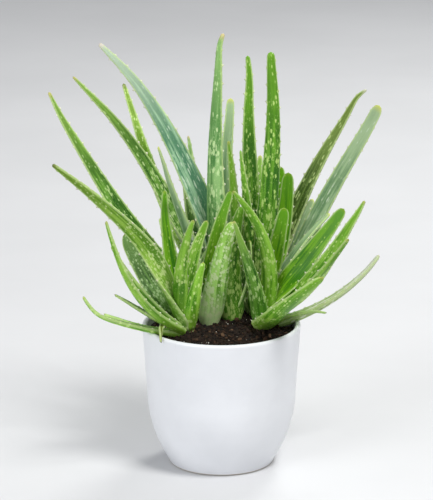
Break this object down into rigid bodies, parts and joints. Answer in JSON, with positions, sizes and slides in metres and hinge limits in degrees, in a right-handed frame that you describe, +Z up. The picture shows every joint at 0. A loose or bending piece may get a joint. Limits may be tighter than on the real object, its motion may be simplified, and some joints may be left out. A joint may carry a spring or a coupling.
{
  "type": "potted aloe plant",
  "caption": "Potted aloe: rosettes of long, pointed, white-flecked green leaves standing in dark soil in a plain round white ceramic pot.",
  "frame": {"origin": "centre of the pot's flat underside, on the surface it stands on", "axes": "+Z up along the pot's axis, -Y to the front of the plant, +X to the right seen from the front"},
  "size_m": [0.278, 0.214, 0.366],
  "materials": {
    "pot_ceramic": "satin",
    "soil": "matte",
    "stem": "satin",
    "aloe_back_left": "satin",
    "aloe_back_right": "satin",
    "aloe_centre": "satin",
    "aloe_front": "satin",
    "aloe_left": "satin",
    "aloe_right": "satin"
  },
  "bodies": {
    "root": {"leaf_back_left_01": "aloe_back_left", "leaf_back_left_02": "aloe_back_left", "leaf_back_left_03": "aloe_back_left", "leaf_back_left_04": "aloe_back_left", "leaf_back_left_05": "aloe_back_left", "leaf_back_left_06": "aloe_back_left", "leaf_back_left_07": "aloe_back_left", "leaf_back_left_08": "aloe_back_left", "leaf_back_left_09": "aloe_back_left", "leaf_back_left_10": "aloe_back_left", "leaf_back_left_11": "aloe_back_left", "leaf_back_right_01": "aloe_back_right", "leaf_back_right_02": "aloe_back_right", "leaf_back_right_03": "aloe_back_right", "leaf_back_right_04": "aloe_back_right", "leaf_back_right_05": "aloe_back_right", "leaf_back_right_06": "aloe_back_right", "leaf_back_right_07": "aloe_back_right", "leaf_back_right_08": "aloe_back_right", "leaf_back_right_09": "aloe_back_right", "leaf_back_right_10": "aloe_back_right", "leaf_back_right_11": "aloe_back_right", "leaf_back_right_12": "aloe_back_right", "leaf_centre_01": "aloe_centre", "leaf_centre_02": "aloe_centre", "leaf_front_01": "aloe_front", "leaf_front_02": "aloe_front", "leaf_front_03": "aloe_front", "leaf_left_01": "aloe_left", "leaf_left_02": "aloe_left", "leaf_left_03": "aloe_left", "leaf_left_04": "aloe_left", "leaf_left_05": "aloe_left", "leaf_left_06": "aloe_left", "leaf_left_07": "aloe_left", "leaf_left_08": "aloe_left", "leaf_left_09": "aloe_left", "leaf_left_10": "aloe_left", "leaf_left_11": "aloe_left", "leaf_left_12": "aloe_left", "leaf_right_01": "aloe_right", "leaf_right_02": "aloe_right", "leaf_right_03": "aloe_right", "leaf_right_04": "aloe_right", "leaf_right_05": "aloe_right", "leaf_right_06": "aloe_right", "leaf_right_07": "aloe_right", "leaf_right_08": "aloe_right", "leaf_right_09": "aloe_right", "pot": "pot_ceramic", "soil": "soil", "stem_back_left": "stem", "stem_back_right": "stem", "stem_centre": "stem", "stem_front": "stem", "stem_left": "stem", "stem_right": "stem"}
  },
  "joints": []
}
